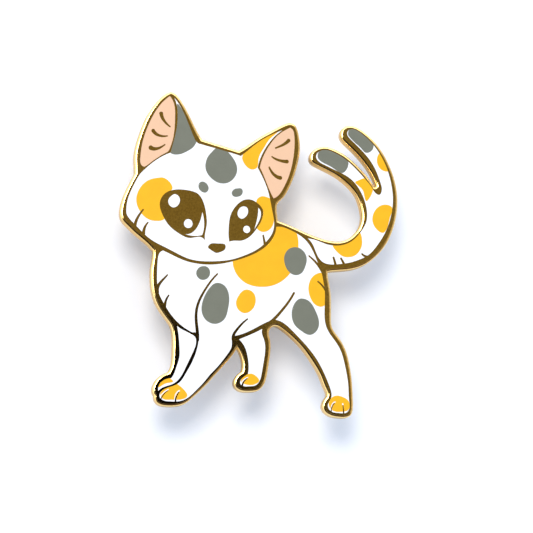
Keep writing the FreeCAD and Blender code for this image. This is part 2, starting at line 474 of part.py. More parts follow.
def cell_column(cell):
    """A cell's shape, from its floor to the top of the print, less its raised lines."""
    curves, lines = CELLS[cell]
    height = "sizes.enamel_depth + sizes.print_thick"
    column = extrusion(f"{cell}_cell", drawing(f"{cell}_outline", curves, CELL_FLOOR), height)
    if lines:
        column = cut(f"{cell}_column", column, raised_lines(f"{cell}_line", lines, CELL_FLOOR, height))
    return column


def enamel(cell, column):
    """The enamel of a cell, level with the face of the plate."""
    slab = box(f"{cell}_slab", "sizes.slab_side", "sizes.slab_side", "sizes.enamel_depth", "0", "0", CELL_FLOOR)
    return node(ENAMEL_NAMES[cell], common(f"{cell}_enamel", column, slab))


def spot(name, column, points):
    """A printed spot on a cell, kept off the metal."""
    patch = extrusion(f"{name}_patch", drawing(f"{name}_outline", [curve(points, True)], FACE), "sizes.print_thick")
    printed = common(f"{name}_print", patch, column)
    if name in SLIPS:
        printed = cut(f"{name}_slipped", printed,
                      raised_lines(f"{name}_slip", SLIPS[name], FACE, "sizes.print_thick"))
    return node(name, printed)


columns = {cell: cell_column(cell) for cell in CELLS}
fills = [enamel(cell, column) for cell, column in columns.items()]
for spot_name, spot_cell, spot_points in GREY_SPOTS:
    spot(spot_name, columns[spot_cell], spot_points)
for spot_name, spot_cell, spot_points in ORANGE_SPOTS:
    spot(spot_name, columns[spot_cell], spot_points)

# The grey spot on the back is printed over the orange one, so the orange stops at its edge.
back_orange = nodes["back_orange"]
back_orange.Label = "back_orange_whole"
node("back_orange", cut("back_orange_trimmed", back_orange, nodes["back_grey"]))

# ---------------------------------------------------------------- posts
POSTS = {
    "upper": ("(sizes.post_mid_x - sizes.post_space_x)", "(sizes.post_mid_y + sizes.post_space_y)"),
    "lower": ("(sizes.post_mid_x + sizes.post_space_x)", "(sizes.post_mid_y - sizes.post_space_y)"),
}


def at_post(solid, side):
    """Move a solid made about the Z axis to a post."""
    solid.setExpression("Placement.Base.x", POSTS[side][0])
    solid.setExpression("Placement.Base.y", POSTS[side][1])
    return solid


def post(side):
    """A post with its soldered foot, snap groove and point."""
    foot = cylinder(f"{side}_foot", "sizes.foot_radius", "sizes.foot_thick", BACK)
    shaft = cylinder(f"{side}_shaft", "sizes.post_radius", "sizes.post_length - sizes.post_point",
                     "sizes.stand_height - sizes.post_length + sizes.post_point")
    point = doc.addObject("Part::Cone", f"{side}_point")
    point.setExpression("Radius1", "sizes.point_radius")
    point.setExpression("Radius2", "sizes.post_radius")
    point.setExpression("Height", "sizes.post_point")
    point.setExpression("Placement.Base.z", "sizes.stand_height - sizes.post_length")
    groove = doc.addObject("Part::Torus", f"{side}_groove")
    groove.setExpression("Radius1", "sizes.groove_ring")
    groove.setExpression("Radius2", "sizes.groove_tube")
    groove.setExpression("Placement.Base.z", "sizes.stand_height - sizes.groove_start - sizes.groove_tube")
    whole = fused(f"{side}_post_blank", [foot, shaft, point])
    return node(f"{side}_post", at_post(cut(f"{side}_post_turned", whole, groove), side))


# ---------------------------------------------------------------- clutches
CUP_TOP = "sizes.stand_height - sizes.cup_gap"
CUP_MOUTH = "sizes.stand_height - sizes.cup_gap - sizes.cup_depth"
CLIP_TOP = "sizes.stand_height - sizes.cup_gap - sizes.cup_sheet - sizes.clip_lift"
HINGE = "(sizes.stand_height - sizes.hinge_drop)"


def cup(side):
    """The clutch's drawn cup: a disc against the cloth, a wall and a rolled edge."""
    drawn = cylinder(f"{side}_cup_blank", "sizes.cup_radius", "sizes.cup_depth", CUP_MOUTH)
    doc.recompute()
    corner = doc.addObject("Part::Fillet", f"{side}_cup_corner")
    corner.Base = drawn
    top_z = size("stand_height") - size("cup_gap")
    rounded = [n for n, edge in enumerate(drawn.Shape.Edges, start=1)
               if abs(edge.BoundBox.ZMin - top_z) < 1e-6 and abs(edge.BoundBox.ZMax - top_z) < 1e-6]
    corner.Edges = [(n, size("cup_edge"), size("cup_edge")) for n in rounded]
    inside = cylinder(f"{side}_cup_inside", "sizes.cup_radius - sizes.cup_sheet",
                      "sizes.cup_depth - sizes.cup_sheet", CUP_MOUTH)
    hole = cylinder(f"{side}_cup_hole", "sizes.cup_hole", "sizes.cup_depth", CUP_MOUTH)
    roll = doc.addObject("Part::Torus", f"{side}_cup_roll")
    roll.setExpression("Radius1", "sizes.cup_radius - sizes.cup_roll")
    roll.setExpression("Radius2", "sizes.cup_roll")
    roll.setExpression("Placement.Base.z", CUP_MOUTH)
    hollow = cut(f"{side}_cup_hollow", corner, fused(f"{side}_cup_bores", [inside, hole]))
    rolled = fused(f"{side}_cup_rolled", [hollow, roll])
    return node(f"{side}_clutch_cup", at_post(rolled, side))


def ear(name, x, y):
    """One ear of the clip base, with its pivot hole."""
    tall = f"{CLIP_TOP} - sizes.clip_sheet / 2 - ({HINGE} - sizes.ear_height)"
    plate = box(f"{name}_plate", "sizes.ear_width", "sizes.ear_thick", tall, x, y, f"{HINGE} - sizes.ear_height")
    bore = doc.addObject("Part::Cylinder", f"{name}_bore")
    bore.setExpression("Radius", "sizes.trunnion_radius + sizes.pivot_play")
    bore.setExpression("Height", "3 * sizes.ear_thick")
    bore.Placement.Rotation = Rotation(Vector(1, 0, 0), 90)
    bore.setExpression("Placement.Base.x", x)
    bore.setExpression("Placement.Base.y", f"{y} + 1.5 * sizes.ear_thick")
    bore.setExpression("Placement.Base.z", HINGE)
    return cut(name, plate, bore)


def clip_base(side):
    """The clip's base: a round plate with a window for the jaws and four ears for the wings' pivots."""
    disc = cylinder(f"{side}_clip_disc", "sizes.clip_radius", "sizes.clip_sheet", f"{CLIP_TOP} - sizes.clip_sheet")
    window = box(f"{side}_clip_window", "sizes.window_x", "sizes.window_y", "4 * sizes.clip_sheet", "0", "0",
                 f"{CLIP_TOP} - 2 * sizes.clip_sheet")
    parts = [cut(f"{side}_clip_frame", disc, window)]
    ear_y = "(sizes.barrel_length / 2 + sizes.pivot_play + sizes.ear_thick / 2)"
    for number, (sx, sy) in enumerate([(1, 1), (1, -1), (-1, 1), (-1, -1)]):
        parts.append(ear(f"{side}_ear_{number}", f"({sx} * sizes.hinge_reach)", f"({sy} * {ear_y})"))
    return node(f"{side}_clip_base", at_post(fused(f"{side}_clip_joined", parts), side))


def leaf(name, path, width):
    """A strip of spring sheet that follows a path in the X-Z plane, as wide as an expression says."""
    thick = size("clip_sheet")
    sketch = doc.addObject("Sketcher::SketchObject", f"{name}_drawing")
    sketch.addGeometry(drawn_line(path, thick, thick), False)
    sketch.Placement = Placement(Vector(0, 0, 0), Rotation(Vector(1, 0, 0), 90))
    strip = doc.addObject("Part::Extrusion", name)
    strip.Base = sketch
    strip.DirMode = "Custom"
    strip.Dir = Vector(0, 1, 0)
    strip.setExpression("LengthFwd", width)
    strip.Symmetric = True
    strip.Solid = True
    return strip


def pivot_rod(name, radius, length):
    """A rod along Y on the hinge line, centred on the post."""
    rod = doc.addObject("Part::Cylinder", name)
    rod.setExpression("Radius", radius)
    rod.setExpression("Height", length)
    rod.Placement.Rotation = Rotation(Vector(1, 0, 0), 90)
    rod.setExpression("Placement.Base.x", "sizes.hinge_reach")
    rod.setExpression("Placement.Base.y", f"({length}) / 2")
    rod.setExpression("Placement.Base.z", HINGE)
    return rod


def wing_waist(name):
    """The two side cuts that narrow a wing where it passes between the ears."""
    waists = []
    for number, sy in enumerate([1, -1]):
        waists.append(box(f"{name}_waist_{number}", "4 * sizes.ear_width", "sizes.waist_cut",
                          "2 * sizes.hinge_drop", "sizes.hinge_reach",
                          f"({sy} * (sizes.barrel_length + sizes.waist_cut) / 2)",
                          f"{HINGE} - sizes.ear_height - sizes.waist_play"))
    return fused(f"{name}_waist", waists)


def wing(side, name, turned):
    """A wing and its jaw on one rolled root; the second wing is the same piece turned half round."""
    reach = size("hinge_reach")
    axis = size("stand_height") - size("hinge_drop")
    foot_z = size("clip_sheet") / 2
    jaw_path = [(reach, axis), (reach - 0.9, axis + 0.45), (size("post_radius") + 0.1, axis + 0.86)]
    wing_path = [(reach, axis), (reach + 0.9, axis - 0.55), (reach + 2.2, axis - 1.2), (reach + 3.3, axis - 2.4),
                 (reach + 3.85, axis - 3.7), (reach + 3.6, foot_z)]
    jaw = leaf(f"{name}_jaw", jaw_path, "sizes.jaw_width")
    blade = leaf(f"{name}_blade", wing_path, "sizes.wing_width")
    root = pivot_rod(f"{name}_root", "sizes.barrel_radius", "sizes.barrel_length")
    pivots = pivot_rod(f"{name}_pivots", "sizes.trunnion_radius",
                       "sizes.barrel_length + 2 * (sizes.pivot_play + sizes.ear_thick)")
    notch = cylinder(f"{name}_notch", "sizes.post_radius + sizes.jaw_play", "sizes.stand_height", "0")
    solid = fused(f"{name}_whole", [jaw, cut(f"{name}_trimmed", blade, wing_waist(name)), root, pivots])
    piece = cut(f"{name}_notched", solid, notch)
    if turned:
        piece.Placement.Rotation = Rotation(Vector(0, 0, 1), 180)
    return node(name, at_post(piece, side))


for post_side in POSTS:
    post(post_side)
    cup(post_side)
    clip_base(post_side)
    wing(post_side, f"{post_side}_wing_right", False)
    wing(post_side, f"{post_side}_wing_left", True)

# ---------------------------------------------------------------- plate
blank = extrusion("plate_blank", drawing("plate_outline", outline(PLATE), BACK), "sizes.plate_thick")
dimples = [at_post(cylinder(f"{side}_dimple", "sizes.foot_radius", "sizes.foot_thick", BACK), side)
           for side in POSTS]
struck = fused("struck_recesses", fills + dimples)
node("cat_plate", cut("plate_struck", blank, struck))

# ---------------------------------------------------------------- check and write
doc.recompute()
for item in doc.Objects:
    if "Invalid" in item.State or "Error" in item.State:
        raise RuntimeError(f"{item.Name} did not recompute: {item.State}")

os.makedirs("parts", exist_ok=True)
for name, item in nodes.items():
    shape = item.Shape
    if shape.isNull() or not shape.isValid() or not shape.Solids:
        raise RuntimeError(f"{name} has no valid solid")
    print(f"{name}: {len(shape.Solids)} solid(s), {shape.Volume:.3f} mm3, {shape.BoundBox}")
    shape.exportStep(f"parts/{name}.step")
print(len(nodes), "sub-parts")
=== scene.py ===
"""A calico cat enamel badge: struck gold plate, hard enamel, printed spots, posts and butterfly clutches.

Metres, in the frame of the CAD model: X across the badge, Y up it, and +Z out of its face, which looks up.
Edit-mode work is done in millimetres on a piece's mesh, which goes back to metres when the piece is finished.
"""
import json
import math

import bmesh
import bpy
from bpy.props import FloatProperty, FloatVectorProperty, PointerProperty
from mathutils import Matrix, Vector

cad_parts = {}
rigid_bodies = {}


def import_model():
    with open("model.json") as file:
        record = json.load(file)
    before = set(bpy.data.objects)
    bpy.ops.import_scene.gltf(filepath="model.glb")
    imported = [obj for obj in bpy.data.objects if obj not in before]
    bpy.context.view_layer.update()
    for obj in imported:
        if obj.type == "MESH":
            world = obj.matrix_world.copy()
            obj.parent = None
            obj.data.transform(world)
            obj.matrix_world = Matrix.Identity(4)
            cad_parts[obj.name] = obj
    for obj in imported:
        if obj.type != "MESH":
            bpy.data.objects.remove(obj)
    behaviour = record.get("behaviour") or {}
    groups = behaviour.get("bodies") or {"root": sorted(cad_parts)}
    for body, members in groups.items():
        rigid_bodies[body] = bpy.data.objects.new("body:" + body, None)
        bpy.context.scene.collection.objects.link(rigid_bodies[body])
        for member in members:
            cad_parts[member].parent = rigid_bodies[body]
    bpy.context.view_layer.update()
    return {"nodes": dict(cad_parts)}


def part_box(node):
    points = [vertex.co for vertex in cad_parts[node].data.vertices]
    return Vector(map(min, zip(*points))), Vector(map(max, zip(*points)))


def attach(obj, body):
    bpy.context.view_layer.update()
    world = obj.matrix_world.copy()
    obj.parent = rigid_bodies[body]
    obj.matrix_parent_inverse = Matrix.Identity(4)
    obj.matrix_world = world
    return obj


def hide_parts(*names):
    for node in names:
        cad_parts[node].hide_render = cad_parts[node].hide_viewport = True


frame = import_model()

bl_info = {
    "name": "Enamel Badge",
    "version": (1, 0, 0),
    "blender": (4, 5, 0),
    "location": "3D View > Sidebar > Badge",
    "description": "Builds a struck metal badge with enamel cells, printed spots and butterfly clutches",
    "category": "Add Mesh",
}

MM = 0.001
PLATE_LOW, PLATE_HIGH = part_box("cat_plate")
BACK = PLATE_LOW[2] / MM
FACE = PLATE_HIGH[2] / MM
SIDES = ("upper", "lower")
# In millimetres, as edit-mode work is.
LEVEL_SLACK = 0.004   # how far a level part may be from its height
DOUBLES = 0.0005      # points nearer than this are one point
FOOT_ZONE = 2.0       # reach of the dimple for a post's foot, from the post's axis
OVERSHOOT = 0.5       # how far a cutter goes past the face that it opens
WALL_DEPTH = 0.3      # a cell's wall goes down at least this far
UPRIGHT = 0.3         # a wall's normal rises less than this
FLAT = math.radians(0.2)
ENAMELS = {
    "head_enamel_white": "white", "body_enamel_white": "white", "tail_enamel_white": "white",
    "far_foreleg_enamel_white": "white", "far_hind_leg_enamel_white": "white",
    "left_eye_glints_white": "white", "right_eye_glints_white": "white",
    "left_ear_enamel_pink": "pink", "right_ear_enamel_pink": "pink",
}
SPOTS = sorted(name for name in frame["nodes"] if name.endswith(("_orange", "_grey")))


# ---------------------------------------------------------------- sizes and colours
class BadgeMetalSettings(bpy.types.PropertyGroup):
    """The struck plate and its plating."""
    shoulder: FloatProperty(name="Rim shoulder", description="Rounding where the face meets the side",
                            default=0.0003, min=0.0001, max=0.0006, unit="LENGTH", precision=5)
    back_edge: FloatProperty(name="Back edge", description="Rounding of the rim at the back",
                             default=0.00012, min=0.00002, max=0.0003, unit="LENGTH", precision=5)
    line_edge: FloatProperty(name="Line edge", description="Softening of the raised lines at the enamel",
                             default=0.00001, min=0.000005, max=0.00005, unit="LENGTH", precision=6)
    gold: FloatVectorProperty(name="Gold plate", description="Colour of the gold plating", subtype="COLOR",
                              size=4, min=0, max=1, default=(0.93, 0.70, 0.32, 1))
    gold_deep: FloatVectorProperty(name="Deep gold", description="Colour of the plating where it is thicker",
                                   subtype="COLOR", size=4, min=0, max=1, default=(0.86, 0.58, 0.20, 1))
    brass: FloatVectorProperty(name="Clutch brass", description="Colour of the plated spring brass",
                               subtype="COLOR", size=4, min=0, max=1, default=(0.90, 0.72, 0.40, 1))
    brass_deep: FloatVectorProperty(name="Deep brass", description="Colour of the brass in its drawing marks",
                                    subtype="COLOR", size=4, min=0, max=1, default=(0.78, 0.56, 0.26, 1))


class BadgeColourSettings(bpy.types.PropertyGroup):
    """The enamel and the printed ink."""
    white: FloatVectorProperty(name="White enamel", description="Colour of the white cells", subtype="COLOR",
                               size=4, min=0, max=1, default=(0.92, 0.92, 0.91, 1))
    pink: FloatVectorProperty(name="Pink enamel", description="Colour of the ears", subtype="COLOR",
                              size=4, min=0, max=1, default=(0.81, 0.51, 0.32, 1))
    orange: FloatVectorProperty(name="Orange ink", description="Colour of the orange spots", subtype="COLOR",
                                size=4, min=0, max=1, default=(0.85, 0.425, 0.008, 1))
    grey: FloatVectorProperty(name="Grey ink", description="Colour of the grey spots", subtype="COLOR",
                              size=4, min=0, max=1, default=(0.165, 0.170, 0.128, 1))


class BadgeStageSettings(bpy.types.PropertyGroup):
    """The surface, the lights and the camera."""
    floor: FloatVectorProperty(name="Floor", description="Colour of the surface", subtype="COLOR",
                               size=4, min=0, max=1, default=(0.90, 0.92, 0.94, 1))
    sky: FloatProperty(name="Sky", description="Strength of the light all round", default=1.0, min=0, max=5)
    air: FloatVectorProperty(name="Air", description="Colour of the light all round, except on bare metal",
                             subtype="COLOR", size=4, min=0, max=2, default=(0.78, 0.87, 1.03, 1))
    key: FloatProperty(name="Key light", description="Power of the window light",
                       default=1.4, min=0, max=50, unit="POWER")
    brown: FloatProperty(name="Brown card", description="Side of the card that darkens the badge's sides",
                         default=0.054, min=0.01, max=0.5, unit="LENGTH", precision=4)
    tilt: FloatProperty(name="Camera tilt", description="Camera away from straight above the badge",
                        default=math.radians(12), min=0, max=math.radians(80), unit="ROTATION")
    distance: FloatProperty(name="Camera distance", description="Camera to the face of the badge",
                            default=0.4, min=0.1, max=2, unit="LENGTH")
    field: FloatProperty(name="Field", description="Width seen at the face of the badge",
                         default=0.0662, min=0.02, max=0.5, unit="LENGTH", precision=4)


# ---------------------------------------------------------------- pieces
def metal(context):
    """The metal settings."""
    return context.scene.badge_metal


def colours(context):
    """The enamel and ink settings."""
    return context.scene.badge_colours


def only(piece):
    """Select one piece and nothing else, and make it active."""
    for other in bpy.context.view_layer.objects:
        other.select_set(False)
    piece.select_set(True)
    bpy.context.view_layer.objects.active = piece


def middle_of(low, high):
    """The middle of a box across X and Y, in millimetres."""
    return (low[0] + high[0]) / 2 / MM, (low[1] + high[1]) / 2 / MM


def paint_node(node_name, material):
    """Give a CAD node its material."""
    mesh = frame["nodes"][node_name].data
    mesh.materials.clear()
    mesh.materials.append(material)


def work_copy(node_name, piece_name):
    """A copy of a CAD node as a new piece, its doubles merged and its flat faces joined, in millimetres."""
    mesh = frame["nodes"][node_name].data.copy()
    mesh.name = piece_name
    mesh.materials.clear()
    mesh.transform(Matrix.Scale(1 / MM, 4))
    piece = bpy.data.objects.new(piece_name, mesh)
    bpy.context.scene.collection.objects.link(piece)
    only(piece)
    if mesh.has_custom_normals:
        bpy.ops.mesh.customdata_custom_splitnormals_clear()
    bpy.ops.object.mode_set(mode="EDIT")
    bpy.ops.mesh.select_all(action="SELECT")
    bpy.ops.mesh.remove_doubles(threshold=DOUBLES)
    bpy.ops.mesh.dissolve_limited(angle_limit=FLAT)
    bpy.ops.mesh.select_all(action="DESELECT")
    bpy.ops.object.mode_set(mode="OBJECT")
    return piece


def choose(piece, kind, test):
    """In edit mode, select the vertices, edges or faces that pass a test."""
    bpy.ops.mesh.select_mode(type=kind)
    bpy.ops.mesh.select_all(action="DESELECT")
    grid = bmesh.from_edit_mesh(piece.data)
    parts = {"VERT": grid.verts, "EDGE": grid.edges, "FACE": grid.faces}[kind]
    chosen = [part for part in parts if test(part)]
    if not chosen:
        raise RuntimeError(f"{piece.name} has nothing to select")
    for part in chosen:
        part.select_set(True)
    grid.select_flush_mode()
    bmesh.update_edit_mesh(piece.data)


def heights(part):
    """The lowest and highest Z of a face or an edge."""
    levels = [vert.co.z for vert in part.verts]
    return min(levels), max(levels)


def at_height(part, height):
    """True if all of a face or an edge lies at a height."""
    low, high = heights(part)
    return abs(low - height) < LEVEL_SLACK and abs(high - height) < LEVEL_SLACK


def finish_piece(piece, material, body, smooth=35, stands_for=()):
    """Put a piece back in metres, shade it, give it its material and its body, and hide the CAD nodes that it
    stands for.
    """
    if not piece.data.polygons:
        raise RuntimeError(f"{piece.name} has no faces")
    piece.data.transform(Matrix.Scale(MM, 4))
    only(piece)
    bpy.ops.object.shade_smooth_by_angle(angle=math.radians(smooth))
    weighted = piece.modifiers.new("weighted normals", "WEIGHTED_NORMAL")
    weighted.keep_sharp = True
    weighted.weight = 100
    bpy.ops.object.modifier_apply(modifier=weighted.name)
    piece.data.materials.clear()
    piece.data.materials.append(material)
    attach(piece, body)
    if stands_for:
        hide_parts(*stands_for)


def cut_away(piece, cutters):
    """Cut other objects out of a piece, then remove them."""
    for cutter in cutters:
        only(piece)
        difference = piece.modifiers.new("cut", "BOOLEAN")
        difference.operation = "DIFFERENCE"
        difference.solver = "EXACT"
        difference.object = cutter
        bpy.ops.object.modifier_apply(modifier=difference.name)
        bpy.data.objects.remove(cutter)


def soften(piece, width):
    """Round the sharp edges of a piece."""
    only(piece)
    edges = piece.modifiers.new("soft edges", "BEVEL")
    edges.width = width
    edges.segments = 2
    edges.limit_method = "ANGLE"
    edges.angle_limit = math.radians(40)
    edges.use_clamp_overlap = True
    bpy.ops.object.modifier_apply(modifier=edges.name)


def turned_piece(piece_name, profile, steps):
    """A piece spun about the Z axis from a closed profile of (radius, height) points, in millimetres."""
    bpy.ops.mesh.primitive_plane_add(size=1)
    piece = bpy.context.object
    piece.name = piece.data.name = piece_name
    bpy.ops.object.mode_set(mode="EDIT")
    bpy.ops.mesh.select_mode(type="VERT")
    bpy.ops.mesh.select_all(action="SELECT")
    bpy.ops.mesh.merge(type="CENTER")
    bpy.ops.transform.translate(value=(profile[0][0], 0, profile[0][1]))
    for (r0, z0), (r1, z1) in zip(profile, profile[1:]):
        bpy.ops.mesh.extrude_vertices_move(TRANSFORM_OT_translate={"value": (r1 - r0, 0, z1 - z0)})
    bpy.ops.mesh.select_all(action="SELECT")
    bpy.ops.mesh.edge_face_add()
    bpy.ops.mesh.delete(type="ONLY_FACE")
    bpy.ops.mesh.select_all(action="SELECT")
    bpy.ops.mesh.spin(steps=steps, angle=2 * math.pi, center=(0, 0, 0), axis=(0, 0, 1))
    bpy.ops.mesh.select_all(action="SELECT")
    bpy.ops.mesh.remove_doubles(threshold=DOUBLES)
    bpy.ops.mesh.normals_make_consistent(inside=False)
    bpy.ops.object.mode_set(mode="OBJECT")
    return piece


def arc(centre, radius, first, last, steps):
    """Points of an arc in a profile, in degrees from the outward direction."""
    angles = [math.radians(first + (last - first) * step / steps) for step in range(steps + 1)]
    return [(centre[0] + radius * math.cos(a), centre[1] + radius * math.sin(a)) for a in angles]


# ---------------------------------------------------------------- shader tools
def add_node(tree, kind, inputs=None, **settings):
    """A shader node with its settings and input values."""
    made = tree.nodes.new(kind)
    for name, value in settings.items():
        setattr(made, name, value)
    for name, value in (inputs or {}).items():
        made.inputs[name].default_value = value
    return made


def new_group(name, inputs, outputs):
    """A shader node group with named sockets, as (tree, its input node, its output node)."""
    tree = bpy.data.node_groups.new(name, "ShaderNodeTree")
    for socket_name, kind, value in inputs:
        socket = tree.interface.new_socket(socket_name, in_out="INPUT", socket_type=kind)
        if value is not None:
            socket.default_value = value
    for socket_name, kind in outputs:
        tree.interface.new_socket(socket_name, in_out="OUTPUT", socket_type=kind)
    return tree, tree.nodes.new("NodeGroupInput"), tree.nodes.new("NodeGroupOutput")


def fine_grain_group():
    """Small soft grain, as on sanded or sprayed metal: scale is the count of grains in a millimetre."""
    name = "Fine Grain"
    if name in bpy.data.node_groups:
        return bpy.data.node_groups[name]
    tree, given, out = new_group(name, [("Vector", "NodeSocketVector", None),
                                        ("Per mm", "NodeSocketFloat", 8.0)],
                                 [("Height", "NodeSocketFloat"), ("Mask", "NodeSocketFloat")])
    links = tree.links
    to_mm = add_node(tree, "ShaderNodeVectorMath", {"Scale": 1 / MM}, operation="SCALE")
    grain = add_node(tree, "ShaderNodeTexNoise", {"Detail": 4.0, "Roughness": 0.6})
    mask = add_node(tree, "ShaderNodeMapRange", {"From Min": 0.35, "From Max": 0.7})
    links.new(given.outputs["Vector"], to_mm.inputs[0])
    links.new(to_mm.outputs["Vector"], grain.inputs["Vector"])
    links.new(given.outputs["Per mm"], grain.inputs["Scale"])
    links.new(grain.outputs["Fac"], mask.inputs["Value"])
    links.new(grain.outputs["Fac"], out.inputs["Height"])
    links.new(mask.outputs["Result"], out.inputs["Mask"])
    return tree


def polish_marks_group():
    """Fine straight marks left by polishing, running along the turned X axis."""
    name = "Polish Marks"
    if name in bpy.data.node_groups:
        return bpy.data.node_groups[name]
    tree, given, out = new_group(name, [("Vector", "NodeSocketVector", None),
                                        ("Per mm", "NodeSocketFloat", 14.0),
                                        ("Turn", "NodeSocketFloat", 0.0)],
                                 [("Height", "NodeSocketFloat"), ("Mask", "NodeSocketFloat")])
    links = tree.links
    turn = add_node(tree, "ShaderNodeVectorRotate", rotation_type="Z_AXIS")
    stretch = add_node(tree, "ShaderNodeMapping")
    stretch.inputs["Scale"].default_value = (0.07 / MM, 1 / MM, 1 / MM)
    marks = add_node(tree, "ShaderNodeTexNoise", {"Detail": 3.0, "Roughness": 0.7})
    thin = add_node(tree, "ShaderNodeMapRange", {"From Min": 0.56, "From Max": 0.7})
    links.new(given.outputs["Vector"], turn.inputs["Vector"])
    links.new(given.outputs["Turn"], turn.inputs["Angle"])
    links.new(turn.outputs["Vector"], stretch.inputs["Vector"])
    links.new(stretch.outputs["Vector"], marks.inputs["Vector"])
    links.new(given.outputs["Per mm"], marks.inputs["Scale"])
    links.new(marks.outputs["Fac"], thin.inputs["Value"])
    links.new(marks.outputs["Fac"], out.inputs["Height"])
    links.new(thin.outputs["Result"], out.inputs["Mask"])
    return tree


def tone_drift_group():
    """A slow drift between two tones of one colour."""
    name = "Tone Drift"
    if name in bpy.data.node_groups:
        return bpy.data.node_groups[name]
    tree, given, out = new_group(name, [("Vector", "NodeSocketVector", None),
                                        ("Tone", "NodeSocketColor", None),
                                        ("Deep Tone", "NodeSocketColor", None),
                                        ("Per mm", "NodeSocketFloat", 0.3),
                                        ("Amount", "NodeSocketFloat", 0.5)],
                                 [("Color", "NodeSocketColor"), ("Mask", "NodeSocketFloat")])
    links = tree.links
    to_mm = add_node(tree, "ShaderNodeVectorMath", {"Scale": 1 / MM}, operation="SCALE")
    drift = add_node(tree, "ShaderNodeTexNoise", {"Detail": 2.0, "Roughness": 0.5})
    spread = add_node(tree, "ShaderNodeMapRange", {"From Min": 0.35, "From Max": 0.65})
    share = add_node(tree, "ShaderNodeMath", operation="MULTIPLY")
    mix = add_node(tree, "ShaderNodeMix", data_type="RGBA")
    links.new(given.outputs["Vector"], to_mm.inputs[0])
    links.new(to_mm.outputs["Vector"], drift.inputs["Vector"])
    links.new(given.outputs["Per mm"], drift.inputs["Scale"])
    links.new(drift.outputs["Fac"], spread.inputs["Value"])
    links.new(spread.outputs["Result"], share.inputs[0])
    links.new(given.outputs["Amount"], share.inputs[1])
    links.new(share.outputs["Value"], mix.inputs["Factor"])
    links.new(given.outputs["Tone"], mix.inputs["A"])
    links.new(given.outputs["Deep Tone"], mix.inputs["B"])
    links.new(mix.outputs["Result"], out.inputs["Color"])
    links.new(share.outputs["Value"], out.inputs["Mask"])
    return tree


def place_group(tree, group, coordinates, **values):
    """A node group in a material, fed with coordinates and its own values."""
    placed = add_node(tree, "ShaderNodeGroup", node_tree=group)
    tree.links.new(coordinates, placed.inputs["Vector"])
    for name, value in values.items():
        placed.inputs[name.replace("_", " ")].default_value = value
    return placed


def new_material(name, **shader):
    """A material with its Principled shader set, as (material, tree, shader, Object coordinates)."""
    material = bpy.data.materials.new(name)
    material.use_nodes = True
    tree = material.node_tree
    principled = next(n for n in tree.nodes if n.type == "BSDF_PRINCIPLED")
    for socket, value in shader.items():
        principled.inputs[socket.replace("_", " ")].default_value = value
    coordinates = add_node(tree, "ShaderNodeTexCoord").outputs["Object"]
    return material, tree, principled, coordinates


def between(tree, value, low, high, start=0.0, end=1.0):
    """A value spread from start to end as it runs from low to high."""
    spread = add_node(tree, "ShaderNodeMapRange",
                      {"From Min": low, "From Max": high, "To Min": start, "To Max": end})
    tree.links.new(value, spread.inputs["Value"])
    return spread.outputs["Result"]


def deeper(colour, share):
    """A colour darkened to a share of itself."""
    return [channel * share for channel in colour[:3]] + [1.0]


def toward(tree, share, colour, tint):
    """A colour that turns to a tint by a share."""
    mix = add_node(tree, "ShaderNodeMix", data_type="RGBA")
    mix.inputs["B"].default_value = tint
    tree.links.new(share, mix.inputs["Factor"])
    tree.links.new(colour, mix.inputs["A"])
    return mix.outputs["Result"]


def bumped(tree, height, distance, strength=1.0, normal=None):
    """A bump's normal from a height, laid over another normal."""
    bump = add_node(tree, "ShaderNodeBump", {"Distance": distance, "Strength": strength})
    tree.links.new(height, bump.inputs["Height"])
    if normal:
        tree.links.new(normal, bump.inputs["Normal"])
    return bump


def struck_gold(context):
    """Gold plate: polished on the face, faint draw marks on the side, and sand-blasted at the back."""
    name = "Struck gold plate"
    if name in bpy.data.materials:
        return bpy.data.materials[name]
    settings = metal(context)
    material, tree, principled, place = new_material(name, Metallic=1.0, Roughness=0.1)
    links = tree.links
    level = add_node(tree, "ShaderNodeSeparateXYZ")
    links.new(place, level.inputs["Vector"])
    tone = place_group(tree, tone_drift_group(), place, Tone=settings.gold, Deep_Tone=settings.gold_deep,
                       Per_mm=0.25, Amount=0.6)
    marks = place_group(tree, polish_marks_group(), place, Per_mm=9.0, Turn=0.3)
    grain = place_group(tree, fine_grain_group(), place, Per_mm=5.0)
    speckle = add_node(tree, "ShaderNodeMath", operation="MULTIPLY")
    links.new(grain.outputs["Mask"], speckle.inputs[0])
    on_face = between(tree, level.outputs["Z"], PLATE_HIGH[2] - 0.0002, PLATE_HIGH[2], 0.08, 0.8)
    links.new(on_face, speckle.inputs[1])
    speckled = toward(tree, speckle.outputs["Value"], tone.outputs["Color"], deeper(settings.gold_deep, 0.62))
    links.new(speckled, principled.inputs["Base Color"])
    at_back = between(tree, level.outputs["Z"], PLATE_LOW[2] + 0.00006, PLATE_LOW[2] + 0.00001)
    rough = add_node(tree, "ShaderNodeMix", data_type="FLOAT")
    links.new(at_back, rough.inputs["Factor"])
    links.new(between(tree, grain.outputs["Height"], 0.3, 0.7, 0.03, 0.065), rough.inputs["A"])
    links.new(between(tree, grain.outputs["Height"], 0.3, 0.7, 0.30, 0.46), rough.inputs["B"])
    links.new(rough.outputs["Result"], principled.inputs["Roughness"])
    polished = bumped(tree, marks.outputs["Height"], 0.000002)
    soft = bumped(tree, grain.outputs["Height"], 0.0000014, normal=polished.outputs["Normal"])
    blasted = bumped(tree, grain.outputs["Height"], 0.00002, normal=soft.outputs["Normal"])
    links.new(at_back, blasted.inputs["Strength"])
    links.new(blasted.outputs["Normal"], principled.inputs["Normal"])
    return material


